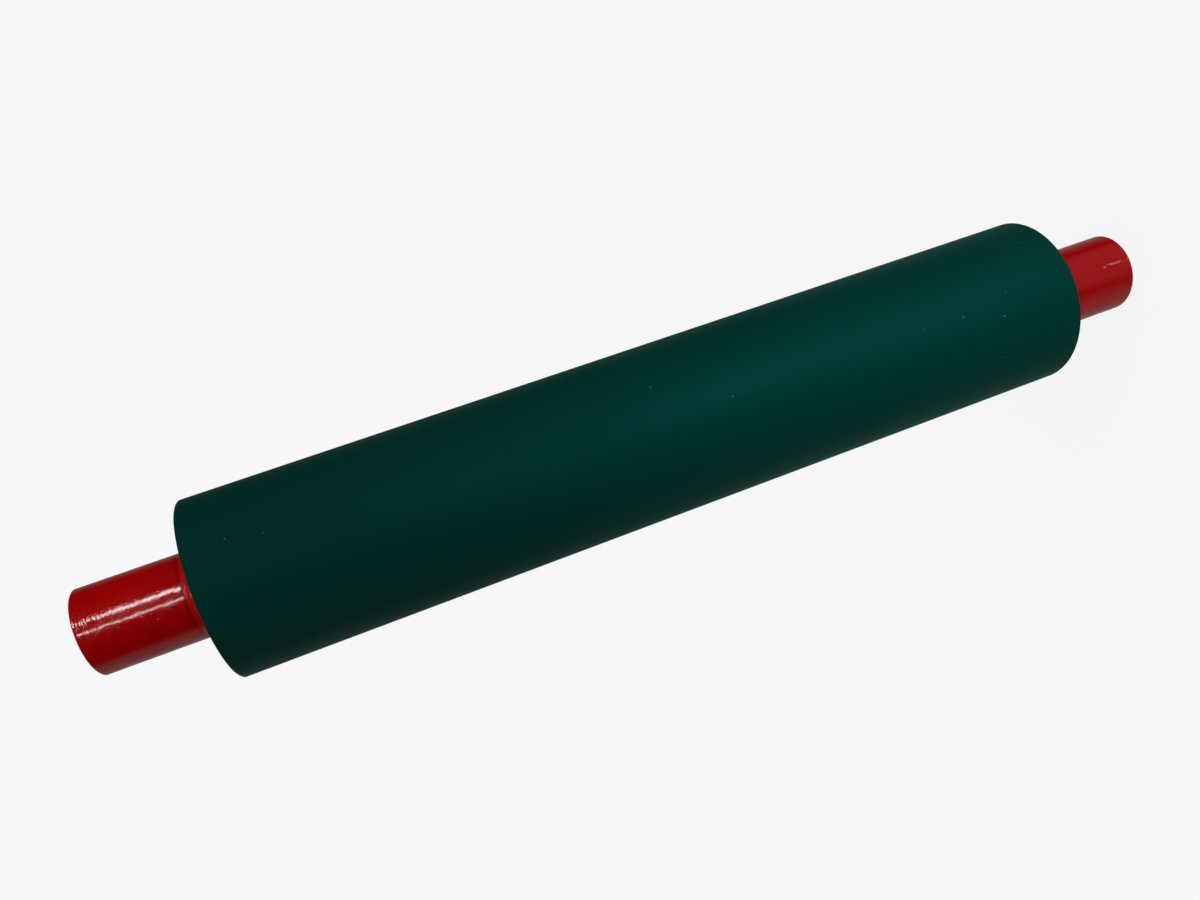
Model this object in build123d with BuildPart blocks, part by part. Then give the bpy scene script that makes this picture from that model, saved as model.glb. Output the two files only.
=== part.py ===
from build123d import *
import math
import os

# Ink form roller of a printing unit. Millimetres.
# +Z is the roller's axis. The roller stands on the flat end of its lower journal,
# and the middle of that end is the origin.

# Rubber cover
cover_diameter = 60.0
cover_face = 307.0
cover_edge_break = 0.4

# Core: a steel tube with a turned journal pressed into each end, all ground to one diameter
core_diameter = 28.6
tube_bore_diameter = 18.6
tube_stand_out = 6.0
journal_projection = 38.35

# Press seat of a journal in the tube
seat_diameter = 20.0
seat_depth = 34.0
seat_lead_chamfer = 0.5
spigot_length = 32.0
spigot_lead_chamfer = 1.0

# Edges on the outside of the core: the joint line, and the journal's free end
seam_break = 0.25
end_chamfer = 0.5

# Turning centre in each free end: a pilot hole, the seat for the lathe's centre,
# and a wider cone that guards the seat's edge
pilot_diameter = 3.15
pilot_length = 4.0
pilot_point_angle = 118.0
cone_diameter = 6.7
cone_angle = 60.0
guard_diameter = 10.0
guard_angle = 120.0

# Worked out from the sizes above
cover_bottom = journal_projection
cover_top = cover_bottom + cover_face
tube_bottom = cover_bottom - tube_stand_out
tube_top = cover_top + tube_stand_out
roller_length = cover_top + journal_projection
bearing_length = journal_projection - tube_stand_out
spigot_end = bearing_length + spigot_length


def cone_height(wide_diameter, narrow_diameter, angle):
    """How far a cone of that included angle goes from one diameter to the other."""
    return (wide_diameter - narrow_diameter) / 2 / math.tan(math.radians(angle / 2))


def turned_journal():
    """A journal on its free end: turning centre, bearing length, then the spigot that goes up
    into the tube. It is one revolved half section."""
    guard_end = cone_height(guard_diameter, cone_diameter, guard_angle)
    cone_end = guard_end + cone_height(cone_diameter, pilot_diameter, cone_angle)
    pilot_end = cone_end + pilot_length
    pilot_tip = pilot_end + cone_height(pilot_diameter, 0, pilot_point_angle)
    with BuildPart() as journal:
        with BuildSketch(Plane.XZ):
            with BuildLine():
                Polyline(
                    (0, pilot_tip),
                    (pilot_diameter / 2, pilot_end),
                    (pilot_diameter / 2, cone_end),
                    (cone_diameter / 2, guard_end),
                    (guard_diameter / 2, 0),
                    (core_diameter / 2, 0),
                    (core_diameter / 2, bearing_length),
                    (seat_diameter / 2, bearing_length),
                    (seat_diameter / 2, spigot_end),
                    (0, spigot_end),
                    close=True,
                )
            make_face()
        revolve(axis=Axis.Z)
        rims = journal.edges().filter_by(GeomType.CIRCLE)
        end_rim = rims.group_by(Axis.Z)[0].sort_by(SortBy.RADIUS)[-1]
        spigot_rim = rims.group_by(Axis.Z)[-1]
        shoulder_rim = rims.group_by(SortBy.RADIUS)[-1].sort_by(Axis.Z)[-1]
        chamfer(end_rim, end_chamfer)
        chamfer(spigot_rim, spigot_lead_chamfer)
        chamfer(shoulder_rim, seam_break)
    return journal.part


# Core tube, from joint line to joint line, bored out at each end for a journal's spigot
with BuildPart() as core_tube:
    with BuildSketch(Plane.XY.offset(tube_bottom)):
        Circle(core_diameter / 2)
        Circle(tube_bore_diameter / 2, mode=Mode.SUBTRACT)
    extrude(amount=tube_top - tube_bottom)
    with BuildSketch(Plane.XY.offset(tube_bottom)):
        Circle(seat_diameter / 2)
    extrude(amount=seat_depth, mode=Mode.SUBTRACT)
    with BuildSketch(Plane.XY.offset(tube_top)):
        Circle(seat_diameter / 2)
    extrude(amount=-seat_depth, mode=Mode.SUBTRACT)
    tube_ends = core_tube.faces().filter_by(Axis.Z)
    for tube_end in (tube_ends.sort_by(Axis.Z)[0], tube_ends.sort_by(Axis.Z)[-1]):
        seat_rim, outer_rim = tube_end.edges().sort_by(SortBy.RADIUS)
        chamfer(seat_rim, seat_lead_chamfer)
        chamfer(outer_rim, seam_break)

# Rubber cover, vulcanised on the tube and ground, its end faces cut square
with BuildPart() as rubber_cover:
    with BuildSketch(Plane.XY.offset(cover_bottom)):
        Circle(cover_diameter / 2)
        Circle(core_diameter / 2, mode=Mode.SUBTRACT)
    extrude(amount=cover_face)
    face_rims = rubber_cover.edges().filter_by(GeomType.CIRCLE).group_by(SortBy.RADIUS)[-1]
    chamfer(face_rims, cover_edge_break)

# Lower journal, standing on its free end
with BuildPart() as lower_journal:
    add(turned_journal())

# Upper journal: the same turning, the other way up
with BuildPart() as upper_journal:
    with Locations(Location((0, 0, roller_length), (180, 0, 0))):
        add(turned_journal())

os.makedirs("parts", exist_ok=True)

core_tube.part.label = "core_tube"
export_step(core_tube.part, "parts/core_tube.step")

rubber_cover.part.label = "rubber_cover"
export_step(rubber_cover.part, "parts/rubber_cover.step")

lower_journal.part.label = "lower_journal"
export_step(lower_journal.part, "parts/lower_journal.step")

upper_journal.part.label = "upper_journal"
export_step(upper_journal.part, "parts/upper_journal.step")
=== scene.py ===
import math

import bpy
import numpy as np
from mathutils import Matrix, Vector


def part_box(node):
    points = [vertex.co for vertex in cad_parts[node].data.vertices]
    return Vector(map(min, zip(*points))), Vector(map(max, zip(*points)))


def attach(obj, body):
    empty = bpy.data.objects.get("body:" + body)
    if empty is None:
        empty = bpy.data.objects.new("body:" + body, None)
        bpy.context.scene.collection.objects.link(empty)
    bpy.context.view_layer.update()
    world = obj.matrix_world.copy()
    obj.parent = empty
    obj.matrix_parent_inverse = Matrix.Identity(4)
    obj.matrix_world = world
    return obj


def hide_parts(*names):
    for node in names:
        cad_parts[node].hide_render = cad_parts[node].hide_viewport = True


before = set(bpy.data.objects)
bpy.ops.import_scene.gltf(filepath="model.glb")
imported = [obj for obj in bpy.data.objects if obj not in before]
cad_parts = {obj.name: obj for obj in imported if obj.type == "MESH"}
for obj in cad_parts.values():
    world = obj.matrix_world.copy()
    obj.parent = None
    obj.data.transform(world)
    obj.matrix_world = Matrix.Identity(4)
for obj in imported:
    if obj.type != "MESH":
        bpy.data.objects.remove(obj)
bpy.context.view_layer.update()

# Sizes in metres, read from the frame
core_low, core_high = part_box("core_tube")
cover_low, cover_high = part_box("rubber_cover")
_, lower_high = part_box("lower_journal")
_, upper_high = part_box("upper_journal")
cover_radius = cover_high.x
core_radius = core_high.x
cover_bottom, cover_top = cover_low.z, cover_high.z
seam_bottom, seam_top = core_low.z, core_high.z
roller_length = upper_high.z
spigot_end = lower_high.z

# Sizes in metres of what the frame's boxes don't give
MM = 0.001
MICRON = 1.0e-6
COVER_EDGE_BREAK = 0.4 * MM
SEAM_BREAK_PAINTED = 0.02 * MM
END_CHAMFER = 0.5 * MM
SPIGOT_RADIUS = 10.0 * MM
SPIGOT_LEAD = 1.0 * MM
TUBE_BORE_RADIUS = 9.3 * MM
SEAT_DEPTH = 34.0 * MM
SEAT_LEAD = 0.5 * MM
PILOT_RADIUS = 1.575 * MM
PILOT_LENGTH = 4.0 * MM
CONE_RADIUS = 3.35 * MM
GUARD_RADIUS = 5.0 * MM
CONE_SLOPE = math.tan(math.radians(30))
GUARD_SLOPE = math.tan(math.radians(60))
PILOT_POINT_SLOPE = math.tan(math.radians(59))
PAINT_EDGE_RADIUS = 0.12 * MM
RUBBER_EDGE_RADIUS = 0.10 * MM

# The paint banks up from the joint line towards the rubber, and its surface keeps the turned rings
BANK_REACH = 3.5 * MM
BANK_RISE = 0.25 * MM
RING_WIDTH = 0.25 * MM
JOINT_SHADE_FROM = 0.15 * MM
JOINT_SHADE_TO = 0.75 * MM

# Paint waves: height in metres, waves round the journal, waves along a metre of it
PAINT_WAVES = (
    (9 * MICRON, 5, 60.0),
    (6 * MICRON, 9, -90.0),
    (4 * MICRON, 14, 130.0),
    (2 * MICRON, 23, -210.0),
)
WAVE_SEED = 7

COVER_SEGMENTS = 384
CORE_SEGMENTS = 288
PAINT_STEP = 0.5 * MM
SHARP_ANGLE = math.radians(28)
RELIEF_FADE = 0.02 * MM

# Colours, linear, and how rough a finish is from its smoothest place to its roughest
PALE = 0.93
RUBBER_GREEN = (0.0001, 0.0247, 0.0192)
RUBBER_GREEN_WORN = (0.0003, 0.0272, 0.0213)
RUBBER_ROUGHNESS = (0.50, 0.58)
RUBBER_SHEEN = (0.12, 1.0, 0.90)
RUBBER_FUZZ = (0.0, 1.0, 0.88)
DUST = (0.055, 0.110, 0.095)
JOURNAL_REDS = ((0.275, 0.0002, 0.0004), (0.325, 0.0003, 0.0006))
COLLAR_REDS = ((0.335, 0.0002, 0.0006), (0.365, 0.0003, 0.0008))
SEAM_RED = (0.185, 0.0002, 0.0004)

# Dust specks on the side of the rubber that is seen: angle from the camera's side towards -X in
# degrees, height and radius in millimetres
SPECKS = (
    (-25.0, 332.0, 0.22),
    (-20.6, 321.1, 0.18),
    (-27.8, 195.0, 0.24),
    (-4.7, 171.1, 0.26),
    (58.5, 182.9, 0.20),
    (-3.3, 83.9, 0.26),
    (-4.0, 99.6, 0.18),
    (-9.7, 65.3, 0.18),
    (5.0, 68.9, 0.30),
    (32.9, 70.2, 0.20),
    (-41.0, 48.0, 0.20),
)
# Specks elsewhere: cells in a metre, and how far from its middle a speck's edge begins and ends, in cells
SPECK_CELLS = 38.0
SPECK_CORE = 0.008
SPECK_RIM = 0.013


def eased(corners, radius, steps=5):
    """The closed outline through the corners with each one rounded: a corner is replaced by the
    quadratic curve that starts and ends that radius away from it along its two sides."""
    corners = np.asarray(corners, float)
    before = np.roll(corners, 1, axis=0) - corners
    after = np.roll(corners, -1, axis=0) - corners
    reach_before = np.linalg.norm(before, axis=1, keepdims=True)
    reach_after = np.linalg.norm(after, axis=1, keepdims=True)
    pull = np.minimum(radius, 0.45 * np.minimum(reach_before, reach_after))
    start = corners + before / reach_before * pull
    end = corners + after / reach_after * pull
    t = np.linspace(0, 1, steps)[None, :, None]
    curve = (1 - t) ** 2 * start[:, None] + 2 * t * (1 - t) * corners[:, None] + t**2 * end[:, None]
    return curve.reshape(-1, 2)


def waved(angle, height):
    """Height of the paint's waves: a sum of sines, each with its own count round the journal, its
    own count along it and a seeded phase."""
    phases = np.random.default_rng(WAVE_SEED).uniform(0, 2 * math.pi, len(PAINT_WAVES))
    total = np.zeros(np.broadcast(angle, height).shape)
    for (size, around, along), phase in zip(PAINT_WAVES, phases):
        total += size * np.sin(around * angle + 2 * math.pi * along * height + phase)
    return total


def turned_surface(name, outline, segments, relief=None):
    """A surface of revolution about Z. The outline is a closed loop of (radius, height): vertex (i, j)
    is outline point i turned by j of the equal angles. An outline that starts and ends on the axis
    gets one vertex at each pole, any other closes on itself."""
    outline = np.asarray(outline, float)
    capped = outline[0, 0] < 1e-9 and outline[-1, 0] < 1e-9
    ring = outline[1:-1] if capped else outline
    angle = np.linspace(0, 2 * math.pi, segments, endpoint=False)
    radius = np.repeat(ring[:, :1], segments, axis=1)
    height = np.repeat(ring[:, 1:], segments, axis=1)
    if relief is not None:
        radius = radius + relief(angle[None, :], height, radius)
    points = np.stack([radius * np.cos(angle), radius * np.sin(angle), height], -1).reshape(-1, 3)
    rows = len(ring)
    i = np.arange(rows - 1 if capped else rows)[:, None]
    j = np.arange(segments)[None, :]
    here = i * segments + j
    across = i * segments + (j + 1) % segments
    above = (i + 1) % rows * segments + j
    corner = (i + 1) % rows * segments + (j + 1) % segments
    quads = np.stack([here, across, corner, above], -1).reshape(-1, 4)
    faces = quads.tolist()
    if capped:
        first, last = len(points), len(points) + 1
        points = np.vstack([points, [0, 0, outline[0, 1]], [0, 0, outline[-1, 1]]])
        turn = np.arange(segments)
        step = (turn + 1) % segments
        start_row = np.stack([np.full(segments, first), step, turn], -1)
        end_row = (rows - 1) * segments
        finish_row = np.stack([np.full(segments, last), end_row + turn, end_row + step], -1)
        faces += start_row.tolist() + finish_row.tolist()
    mesh = bpy.data.meshes.new(name)
    mesh.from_pydata(points, [], faces)
    mesh.update()
    mesh.shade_smooth()
    mesh.set_sharp_from_angle(angle=SHARP_ANGLE)
    piece = bpy.data.objects.new(name, mesh)
    bpy.context.scene.collection.objects.link(piece)
    return piece


def facing_out(piece):
    """Turns the faces of a closed piece outwards, by the sign of its volume."""
    mesh = piece.data
    mesh.calc_loop_triangles()
    count = len(mesh.loop_triangles)
    triangles = np.empty(count * 3, np.int32)
    mesh.loop_triangles.foreach_get("vertices", triangles)
    points = np.empty(len(mesh.vertices) * 3, np.float32)
    mesh.vertices.foreach_get("co", points)
    a, b, c = points.reshape(-1, 3)[triangles.reshape(-1, 3)].astype(float).transpose(1, 0, 2)
    if np.einsum("ij,ij->i", a, np.cross(b, c)).sum() < 0:
        mesh.flip_normals()
    return piece


def with_steps(outline, step):
    """The outline with its long straight upright runs divided into equal steps, so that a relief has
    vertices to move."""
    outline = np.asarray(outline, float)
    parts = []
    for start, end in zip(outline[:-1], outline[1:]):
        count = max(1, int(round(abs(end[1] - start[1]) / step)))
        t = np.arange(count)[:, None] / count
        parts.append(start + (end - start) * t)
    parts.append(outline[-1:])
    return np.vstack(parts)


def journal_outline():
    """Closed half section of a journal that stands on its free end at height 0, from the axis in the
    turning centre out over the end face, up the bearing length and the spigot and back to the axis."""
    guard_end = (GUARD_RADIUS - CONE_RADIUS) / GUARD_SLOPE
    cone_end = guard_end + (CONE_RADIUS - PILOT_RADIUS) / CONE_SLOPE
    pilot_end = cone_end + PILOT_LENGTH
    pilot_tip = pilot_end + PILOT_RADIUS / PILOT_POINT_SLOPE
    corners = [
        (PILOT_RADIUS, pilot_end),
        (PILOT_RADIUS, cone_end),
        (CONE_RADIUS, guard_end),
        (GUARD_RADIUS, 0),
        (core_radius - END_CHAMFER, 0),
        (core_radius, END_CHAMFER),
        (core_radius, seam_bottom - SEAM_BREAK_PAINTED),
        (core_radius - SEAM_BREAK_PAINTED, seam_bottom),
        (SPIGOT_RADIUS, seam_bottom),
        (SPIGOT_RADIUS, spigot_end - SPIGOT_LEAD),
        (SPIGOT_RADIUS - SPIGOT_LEAD, spigot_end),
    ]
    closed = [(0, pilot_tip)] + corners + [(0, spigot_end)]
    body = eased(closed, PAINT_EDGE_RADIUS)
    inner = body[body[:, 0] > MICRON]
    outline = np.vstack([[0, pilot_tip], inner, [0, spigot_end]])
    return with_steps(outline, PAINT_STEP)


def paint_relief(angle, height, radius):
    """The paint's waves, on the outside of the core and nowhere proud of it. They fade out where an edge
    turns in, in proportion to the radius over the outermost part of it."""
    on_outside = np.clip((radius - (core_radius - RELIEF_FADE)) / RELIEF_FADE, 0, 1)
    highest = sum(size for size, around, along in PAINT_WAVES)
    return on_outside * (waved(angle, height) - highest)


def make_journal(name, node, upside_down):
    """A painted journal: its half section turned about the axis, for the upper one with heights mirrored."""
    outline = journal_outline()
    if upside_down:
        outline = outline * (1, -1) + (0, roller_length)
    piece = facing_out(turned_surface(name, outline, CORE_SEGMENTS, paint_relief))
    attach(piece, "root")
    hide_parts(node)
    return piece


def make_tube():
    """The core tube: a closed ring section with its seats, lead-in cones and joint line edges."""
    half = [
        (core_radius - SEAM_BREAK_PAINTED, seam_bottom),
        (core_radius, seam_bottom + SEAM_BREAK_PAINTED),
        (core_radius, seam_top - SEAM_BREAK_PAINTED),
        (core_radius - SEAM_BREAK_PAINTED, seam_top),
        (SPIGOT_RADIUS + SEAT_LEAD, seam_top),
        (SPIGOT_RADIUS, seam_top - SEAT_LEAD),
        (SPIGOT_RADIUS, seam_top - SEAT_DEPTH),
        (TUBE_BORE_RADIUS, seam_top - SEAT_DEPTH),
        (TUBE_BORE_RADIUS, seam_bottom + SEAT_DEPTH),
        (SPIGOT_RADIUS, seam_bottom + SEAT_DEPTH),
        (SPIGOT_RADIUS, seam_bottom + SEAT_LEAD),
        (SPIGOT_RADIUS + SEAT_LEAD, seam_bottom),
    ]
    ring = eased(half, PAINT_EDGE_RADIUS)
    piece = facing_out(turned_surface("core_tube_painted", ring, CORE_SEGMENTS))
    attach(piece, "root")
    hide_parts("core_tube")
    return piece


def make_cover():
    """The rubber cover: a closed ring section with its outer edges broken."""
    section = [
        (core_radius, cover_bottom),
        (cover_radius - COVER_EDGE_BREAK, cover_bottom),
        (cover_radius, cover_bottom + COVER_EDGE_BREAK),
        (cover_radius, cover_top - COVER_EDGE_BREAK),
        (cover_radius - COVER_EDGE_BREAK, cover_top),
        (core_radius, cover_top),
    ]
    ring = eased(section, RUBBER_EDGE_RADIUS)
    piece = facing_out(turned_surface("ground_rubber_cover", ring, COVER_SEGMENTS))
    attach(piece, "root")
    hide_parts("rubber_cover")
    return piece


class Finish:
    """A material's node tree, with short calls for the nodes that the finishes share."""

    def __init__(self, name):
        self.material = bpy.data.materials.new(name)
        self.material.use_nodes = True
        self.tree = self.material.node_tree
        self.shader = self.tree.nodes["Principled BSDF"]
        self.place = self.tree.nodes.new("ShaderNodeTexCoord").outputs["Object"]

    def link(self, source, target):
        self.tree.links.new(source, target)

    def stretched(self, across, along, place=None):
        """Object coordinates, or another place, times one scale across the axis and another along it."""
        node = self.tree.nodes.new("ShaderNodeMapping")
        node.inputs["Scale"].default_value = (across, across, along)
        self.link(place or self.place, node.inputs["Vector"])
        return node.outputs["Vector"]

    def in_rings(self, width):
        """Object coordinates that stay the same along the axis within each ring of that width. Across the
        axis they step too, but too finely to show."""
        node = self.tree.nodes.new("ShaderNodeVectorMath")
        node.operation = "SNAP"
        node.inputs[1].default_value = (0.001 * width, 0.001 * width, width)
        self.link(self.place, node.inputs[0])
        return node.outputs["Vector"]

    def noise(self, across, along, detail=0.0, place=None):
        """Noise with that many cells in a metre across the axis and along it."""
        node = self.tree.nodes.new("ShaderNodeTexNoise")
        node.inputs["Scale"].default_value = 1.0
        node.inputs["Detail"].default_value = detail
        self.link(self.stretched(across, along, place), node.inputs["Vector"])
        return node.outputs["Fac"]

    def ranged(self, source, low, high, to_low=0.0, to_high=1.0):
        """A value that goes evenly from one number to another while the source goes from low to high."""
        node = self.tree.nodes.new("ShaderNodeMapRange")
        node.inputs["From Min"].default_value = low
        node.inputs["From Max"].default_value = high
        node.inputs["To Min"].default_value = to_low
        node.inputs["To Max"].default_value = to_high
        self.link(source, node.inputs["Value"])
        return node.outputs["Result"]

    def eased_range(self, source, low, high, to_low, to_high):
        """The same with a slow start and end."""
        result = self.ranged(source, low, high, to_low, to_high)
        result.node.interpolation_type = "SMOOTHSTEP"
        return result

    def mixed(self, share, first, second):
        """Two colours mixed by a share. Each is a fixed colour or another node's output."""
        node = self.tree.nodes.new("ShaderNodeMix")
        node.data_type = "RGBA"
        self.link(share, node.inputs[0])
        for socket, value in ((node.inputs[6], first), (node.inputs[7], second)):
            if isinstance(value, tuple):
                socket.default_value = (*value, 1.0)
            else:
                self.link(value, socket)
        return node.outputs[2]

    def joined(self, first, second, operation):
        """Two values put together by that operation. Each is a number or another node's output."""
        node = self.tree.nodes.new("ShaderNodeMath")
        node.operation = operation
        for socket, value in zip(node.inputs, (first, second)):
            if isinstance(value, float):
                socket.default_value = value
            else:
                self.link(value, socket)
        return node.outputs[0]

    def axes(self):
        """Object coordinates, one by one."""
        node = self.tree.nodes.new("ShaderNodeSeparateXYZ")
        self.link(self.place, node.inputs[0])
        return node.outputs

    def bump(self, height, distance, under=None, strength=1.0):
        """A relief of that height, laid over another one if it is given."""
        node = self.tree.nodes.new("ShaderNodeBump")
        node.inputs["Strength"].default_value = strength
        node.inputs["Distance"].default_value = distance
        self.link(height, node.inputs["Height"])
        if under is not None:
            self.link(under, node.inputs["Normal"])
        return node.outputs["Normal"]


def dusted(f):
    """Share of dust at a place on the rubber: 1 inside a speck, 0 outside, for the specks that are listed
    and for a few more, at the points of a pattern of cells, round the side that is turned away."""
    share = None
    for angle, height, radius in SPECKS:
        a = math.radians(angle)
        place = (-cover_radius * math.sin(a), -cover_radius * math.cos(a), height * MM)
        away = f.tree.nodes.new("ShaderNodeVectorMath")
        away.operation = "DISTANCE"
        away.inputs[1].default_value = place
        f.link(f.place, away.inputs[0])
        spot = f.ranged(away.outputs["Value"], 0.6 * radius * MM, 1.2 * radius * MM, 1.0, 0.0)
        share = spot if share is None else f.joined(share, spot, "MAXIMUM")
    cells = f.tree.nodes.new("ShaderNodeTexVoronoi")
    cells.inputs["Scale"].default_value = 1.0
    f.link(f.stretched(SPECK_CELLS, SPECK_CELLS), cells.inputs["Vector"])
    spots = f.ranged(cells.outputs["Distance"], SPECK_CORE, SPECK_RIM, 1.0, 0.0)
    turned_away = f.ranged(f.axes()["Y"], -2 * MM, 0.0)
    return f.joined(share, f.joined(spots, turned_away, "MULTIPLY"), "MAXIMUM")


def ground_rubber():
    """Dark green rubber, ground all over: faint rings of the grinding wheel, cloudy sheen, dust specks."""
    f = Finish("ground_green_rubber")
    clouds = f.ranged(f.noise(28.0, 9.0, detail=3.0), 0.35, 0.65)
    tone = f.mixed(clouds, RUBBER_GREEN, RUBBER_GREEN_WORN)
    f.link(f.mixed(dusted(f), tone, DUST), f.shader.inputs["Base Color"])
    patches = f.noise(40.0, 15.0, detail=3.0)
    f.link(f.ranged(patches, 0.3, 0.7, *RUBBER_ROUGHNESS), f.shader.inputs["Roughness"])
    f.shader.inputs["Specular IOR Level"].default_value = 0.07
    f.shader.inputs["Specular Tint"].default_value = (*RUBBER_SHEEN, 1.0)
    f.shader.inputs["Sheen Weight"].default_value = 0.05
    f.shader.inputs["Sheen Roughness"].default_value = 0.4
    f.shader.inputs["Sheen Tint"].default_value = (*RUBBER_FUZZ, 1.0)
    rings = f.bump(f.noise(12.0, 2600.0, detail=2.0), 20 * MICRON, strength=0.10)
    skin = f.bump(f.noise(2200.0, 2200.0, detail=2.0), 20 * MICRON, rings, strength=0.10)
    f.link(skin, f.shader.inputs["Normal"])
    return f.material


def red_enamel(name, reds, roughness, swells, ring_lean, tooth_depth, grain_depth):
    """Glossy red enamel over turned steel. Under it each turned ring leans its own way, and flat steps with
    steep flanks lie across, so that a highlight gets short teeth. Sparse grains make sparks, and swells
    bend the shine. The joint line is darker, and the paint banks up against the rubber."""
    f = Finish(name)
    deep_red, red = reds
    thickness = f.ranged(f.noise(60.0, 300.0, detail=3.0), 0.3, 0.7)
    from_middle = f.joined(f.joined(f.axes()["Z"], roller_length / 2, "SUBTRACT"), 1.0, "ABSOLUTE")
    joint = seam_top - roller_length / 2
    from_joint = f.joined(f.joined(from_middle, joint, "SUBTRACT"), 1.0, "ABSOLUTE")
    shade = f.ranged(from_joint, JOINT_SHADE_FROM, JOINT_SHADE_TO, 1.0, 0.0)
    f.link(f.mixed(shade, f.mixed(thickness, deep_red, red), SEAM_RED), f.shader.inputs["Base Color"])
    patches = f.noise(300.0, 700.0, detail=2.0)
    f.link(f.ranged(patches, 0.3, 0.7, *roughness), f.shader.inputs["Roughness"])
    f.shader.inputs["Specular IOR Level"].default_value = 0.5
    bank = f.bump(f.eased_range(from_middle, joint - BANK_REACH, joint, 1.0, 0.0), BANK_RISE)
    swells_across, swells_along, swell_depth = swells
    swelled = f.bump(f.noise(swells_across, swells_along), swell_depth, bank)
    rings = f.bump(f.noise(400.0, 6000.0, place=f.in_rings(RING_WIDTH)), ring_lean, swelled)
    teeth = f.bump(f.ranged(f.noise(160.0, 2000.0), 0.42, 0.58), tooth_depth, rings)
    grains = f.bump(f.ranged(f.noise(2200.0, 2200.0), 0.60, 0.80), grain_depth, teeth)
    f.link(grains, f.shader.inputs["Normal"])
    return f.material


def give(piece, material):
    piece.data.materials.clear()
    piece.data.materials.append(material)


# The camera of the photograph: it stands off the roller's axis, a little turned from it, and rolled
CAMERA_DISTANCE = 0.31381
CAMERA_HEIGHT = 0.27712
CAMERA_ELEVATION = math.radians(-10.740)
CAMERA_YAW = math.radians(2.756)
CAMERA_ROLL = math.radians(-110.053)
LENS_MM = 27.78
SENSOR_MM = 36.0
PHOTO_WIDTH = 1200.0
SHIFT_DOWN = 48.0 / PHOTO_WIDTH
CLIP_START = 0.01
CLIP_END = 100.0


def make_camera():
    """Looks along +Y, turned by the yaw about Z, tipped by the elevation, then rolled about its own line
    of sight."""
    data = bpy.data.cameras.new("photo_camera")
    data.lens = LENS_MM
    data.sensor_width = SENSOR_MM
    data.shift_y = SHIFT_DOWN
    data.clip_start = CLIP_START
    data.clip_end = CLIP_END
    camera = bpy.data.objects.new("photo_camera", data)
    turn = Matrix.Rotation(CAMERA_YAW, 4, "Z")
    tip = Matrix.Rotation(math.radians(90) + CAMERA_ELEVATION, 4, "X")
    roll = Matrix.Rotation(CAMERA_ROLL, 4, "Z")
    camera.matrix_world = Matrix.Translation((0, -CAMERA_DISTANCE, CAMERA_HEIGHT)) @ turn @ tip @ roll
    bpy.context.scene.collection.objects.link(camera)
    bpy.context.scene.camera = camera


# Lights. A side is a direction towards where the light comes from.
DOME_DIFFUSE = 0.16
FRONT_DIFFUSE = 1.78
FRONT_SIDE = (0.478, -0.782, 0.400)
FRONT_EDGE = 0.40
BACK_DIFFUSE = 0.90
BACK_SIDE = (-0.423, 0.906, 0.0)
BACK_EDGE = 0.30
ROOM_GLOSS = 0.004
TABLE_GLOSS = 0.25
TABLE_SIDE = (-0.492, 0.785, -0.377)
TABLE_FROM = -0.11
TABLE_TO = 0.55
RIM_SIDE = (0.0, 0.8, -0.6)
RIM_FROM = -0.30
RIM_TO = -0.08
LOW_GLOSS = 0.20
LOW_SIDE = (0.299, -0.641, -0.707)
LOW_EDGE = math.cos(math.radians(49))
LOW_INSIDE = math.cos(math.radians(28))
ROSY = (1.0, 0.82, 0.82)
FLOOR_ALBEDO = 0.12
FLOOR_LIT = 0.078
FLOOR_REACH = 40.0
UPRIGHT = (0, 0, 1)
SIDEWAYS = (1, 0, 0)


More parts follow.
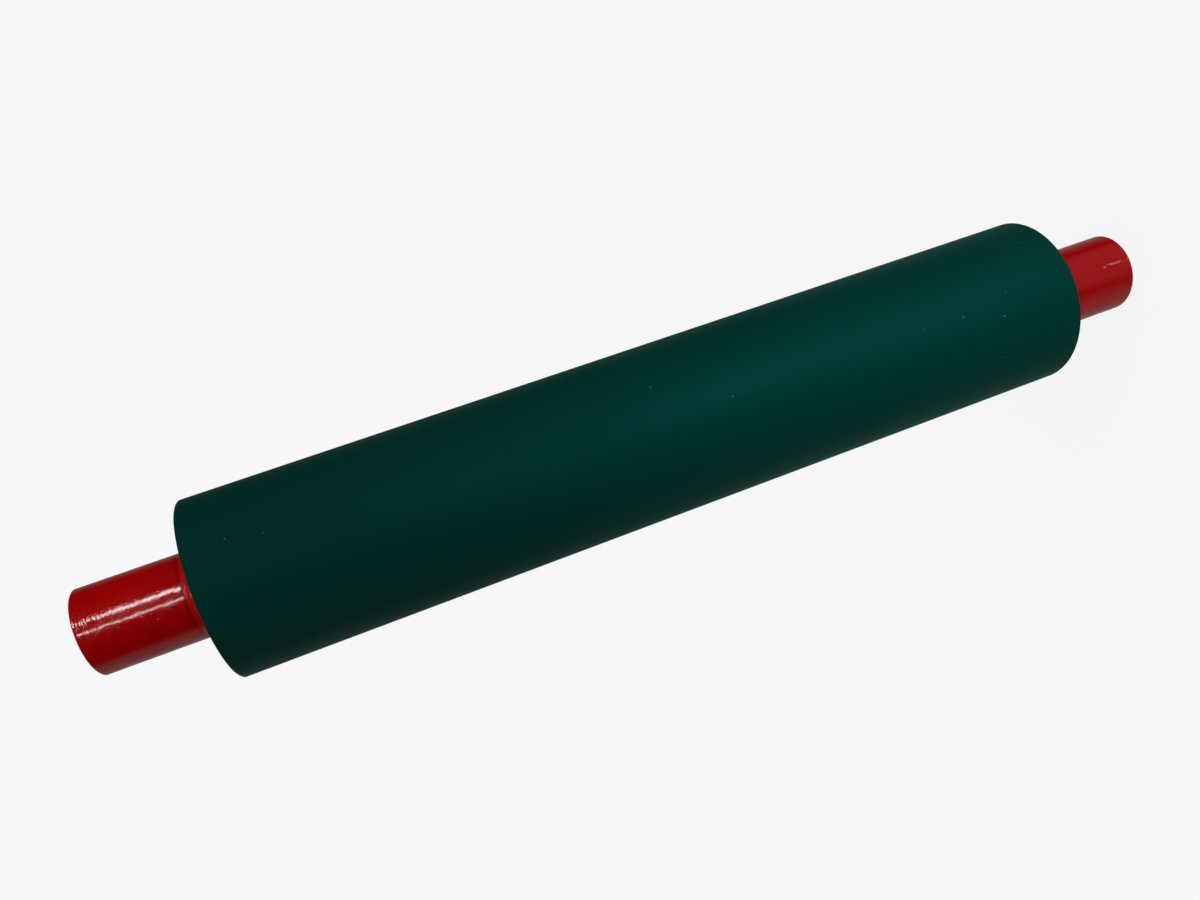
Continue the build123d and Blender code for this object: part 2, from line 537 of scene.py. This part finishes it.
def make_world():
    """What the camera sees is pale all over. Diffuse light comes from an even dome with a bright side in
    front and a weaker one behind. Reflections see a dark room, with a pale table behind the roller that
    gets brighter away from its rim, and a pale patch low in front."""
    world = bpy.data.worlds.new("studio")
    bpy.context.scene.world = world
    world.use_nodes = True
    world.cycles.sampling_method = "NONE"
    tree = world.node_tree
    tree.nodes.clear()
    new = tree.nodes.new
    link = tree.links.new
    path = new("ShaderNodeLightPath")
    where = new("ShaderNodeTexCoord")

    def sloped_towards(side, low, high, to_low, to_high):
        """A value that slopes with the cosine between the line of sight and a side."""
        cosine = new("ShaderNodeVectorMath")
        cosine.operation = "DOT_PRODUCT"
        cosine.inputs[1].default_value = Vector(side).normalized()
        link(where.outputs["Generated"], cosine.inputs[0])
        node = new("ShaderNodeMapRange")
        for name, number in zip(("From Min", "From Max", "To Min", "To Max"), (low, high, to_low, to_high)):
            node.inputs[name].default_value = number
        link(cosine.outputs["Value"], node.inputs["Value"])
        return node.outputs["Result"]

    def joined(first, second, operation):
        node = new("ShaderNodeMath")
        node.operation = operation
        link(first, node.inputs[0])
        link(second, node.inputs[1])
        return node.outputs[0]

    def glow(strength):
        node = new("ShaderNodeBackground")
        node.inputs["Color"].default_value = (1, 1, 1, 1)
        if isinstance(strength, float):
            node.inputs["Strength"].default_value = strength
        else:
            link(strength, node.inputs["Strength"])
        return node.outputs["Background"]

    def chosen(share, first, second):
        node = new("ShaderNodeMixShader")
        link(share, node.inputs[0])
        link(first, node.inputs[1])
        link(second, node.inputs[2])
        return node.outputs["Shader"]

    front = sloped_towards(FRONT_SIDE, FRONT_EDGE, 1.0, DOME_DIFFUSE, DOME_DIFFUSE + FRONT_DIFFUSE)
    dome = joined(front, sloped_towards(BACK_SIDE, BACK_EDGE, 1.0, 0.0, BACK_DIFFUSE), "ADD")
    table = sloped_towards(TABLE_SIDE, TABLE_FROM, TABLE_TO, ROOM_GLOSS, TABLE_GLOSS)
    table = joined(table, sloped_towards(RIM_SIDE, RIM_FROM, RIM_TO, 0.0, 1.0), "MULTIPLY")
    low = sloped_towards(LOW_SIDE, LOW_EDGE, LOW_INSIDE, 0.0, LOW_GLOSS)
    seen = joined(table, low, "MAXIMUM")
    lit = chosen(path.outputs["Is Glossy Ray"], glow(dome), glow(seen))
    shown = chosen(path.outputs["Is Camera Ray"], lit, glow(PALE))
    out = new("ShaderNodeOutputWorld")
    link(shown, out.inputs["Surface"])


def make_floor():
    """A pale floor that glows by itself, so that the roller's shadow on it stays faint. It neither lights
    the roller nor shows in it."""
    mesh = bpy.data.meshes.new("floor")
    far = FLOOR_REACH
    corners = [(-far, -far, 0), (far, -far, 0), (far, far, 0), (-far, far, 0)]
    mesh.from_pydata(corners, [], [(0, 1, 2, 3)])
    floor = bpy.data.objects.new("floor", mesh)
    bpy.context.scene.collection.objects.link(floor)
    f = Finish("pale_floor")
    f.shader.inputs["Base Color"].default_value = (FLOOR_ALBEDO, FLOOR_ALBEDO, FLOOR_ALBEDO, 1)
    f.shader.inputs["Roughness"].default_value = 1.0
    f.shader.inputs["Specular IOR Level"].default_value = 0.0
    f.shader.inputs["Emission Color"].default_value = (1, 1, 1, 1)
    f.shader.inputs["Emission Strength"].default_value = PALE - FLOOR_LIT
    give(floor, f.material)
    floor.visible_diffuse = False
    floor.visible_glossy = False
    floor.visible_shadow = False


def only_lights(lamp, name, pieces):
    """The lamp lights these pieces and nothing else, though everything still casts its shadow."""
    group = bpy.data.collections.new(name)
    for piece in pieces:
        group.objects.link(piece)
    lamp.light_linking.receiver_collection = group


def aimed(centre, aim, upright):
    """Placing of a lamp that shines from its centre at the aim, with its Y axis near the upright line."""
    back = (Vector(centre) - Vector(aim)).normalized()
    side = Vector(upright).cross(back).normalized()
    along = back.cross(side)
    return Matrix.Translation(centre) @ Matrix((side, along, back)).transposed().to_4x4()


def strip_lamp(name, centre, aim, width, length, radiance, upright=UPRIGHT, colour=(1, 1, 1)):
    """An even rectangular lamp of that radiance. Its long side follows the upright direction."""
    data = bpy.data.lights.new(name, "AREA")
    data.color = colour
    data.shape = "RECTANGLE"
    data.size = width
    data.size_y = length
    data.energy = radiance * math.pi * width * length
    lamp = bpy.data.objects.new(name, data)
    lamp.matrix_world = aimed(centre, aim, upright)
    bpy.context.scene.collection.objects.link(lamp)
    return lamp


def soft_spot(name, centre, aim, cone_deg, power):
    """A spot lamp that fades from the middle of its cone to the edge."""
    data = bpy.data.lights.new(name, "SPOT")
    data.energy = power
    data.spot_size = math.radians(cone_deg)
    data.spot_blend = 1.0
    data.shadow_soft_size = 0.08
    lamp = bpy.data.objects.new(name, data)
    lamp.matrix_world = aimed(centre, aim, UPRIGHT)
    bpy.context.scene.collection.objects.link(lamp)
    return lamp


def around(angle_deg, distance, height):
    """A place that far from the axis at that height, the angle counted from the camera's side towards +X."""
    a = math.radians(angle_deg)
    return (distance * math.sin(a), -distance * math.cos(a), height)


make_camera()
cover = make_cover()
tube = make_tube()
lower_journal = make_journal("lower_journal_painted", "lower_journal", False)
upper_journal = make_journal("upper_journal_painted", "upper_journal", True)

give(cover, ground_rubber())
toothed_marks = {
    "swells": (500.0, 700.0, 14 * MICRON),
    "ring_lean": 38 * MICRON,
    "tooth_depth": 16 * MICRON,
    "grain_depth": 11 * MICRON,
}
wavy_marks = {
    "swells": (1200.0, 350.0, 24 * MICRON),
    "ring_lean": 6 * MICRON,
    "tooth_depth": 1 * MICRON,
    "grain_depth": 1 * MICRON,
}
give(upper_journal, red_enamel("toothed_red_enamel", JOURNAL_REDS, (0.06, 0.12), **toothed_marks))
give(lower_journal, red_enamel("wavy_red_enamel", JOURNAL_REDS, (0.03, 0.05), **wavy_marks))
give(tube, red_enamel("collar_red_enamel", COLLAR_REDS, (0.08, 0.15), **toothed_marks))

make_world()
make_floor()

# Highlights of the red ends, the sheen of the rubber, and a soft light on the lower half
upper_aim = (0, 0, roller_length - 0.02)
first_band = strip_lamp(
    "first_band", around(29.4, 0.75, 0.52), upper_aim, width=0.105, length=0.20, radiance=28.0, colour=ROSY
)
second_band = strip_lamp(
    "second_band", around(3.0, 0.80, 0.54), upper_aim, width=0.060, length=0.24, radiance=20.0, colour=ROSY
)
haze = strip_lamp("haze", around(15, 0.78, 0.54), upper_aim, width=0.16, length=0.24, radiance=0.12)
cover_aim = (0, 0, 0.17)
sheen = strip_lamp("sheen", around(20, 0.75, -0.05), cover_aim, width=0.20, length=0.60, radiance=9.4)
glint_aim = (0, -core_radius, 0.007)
glint_place = (0.120, -0.406, -0.364)
glint = strip_lamp("glint", glint_place, glint_aim, width=0.005, length=0.030, radiance=5.5, upright=SIDEWAYS)
for lamp, pieces in (
    (first_band, [tube, upper_journal]),
    (second_band, [tube, upper_journal]),
    (haze, [tube, upper_journal]),
    (sheen, [cover]),
    (glint, [lower_journal]),
):
    lamp.visible_diffuse = False
    only_lights(lamp, lamp.name + "_lit", pieces)

cover_fill = soft_spot("cover_fill", around(-5, 0.50, 0.10), (0, 0, 0.08), cone_deg=48, power=5.0)
end_fill = soft_spot("end_fill", around(-27, 0.50, 0.06), (0, 0, 0.02), cone_deg=30, power=2.5)
for lamp, pieces in ((cover_fill, [cover]), (end_fill, [tube, lower_journal])):
    lamp.visible_glossy = False
    only_lights(lamp, lamp.name + "_lit", pieces)

view = bpy.context.scene.view_settings
view.view_transform = "Standard"
view.look = "None"
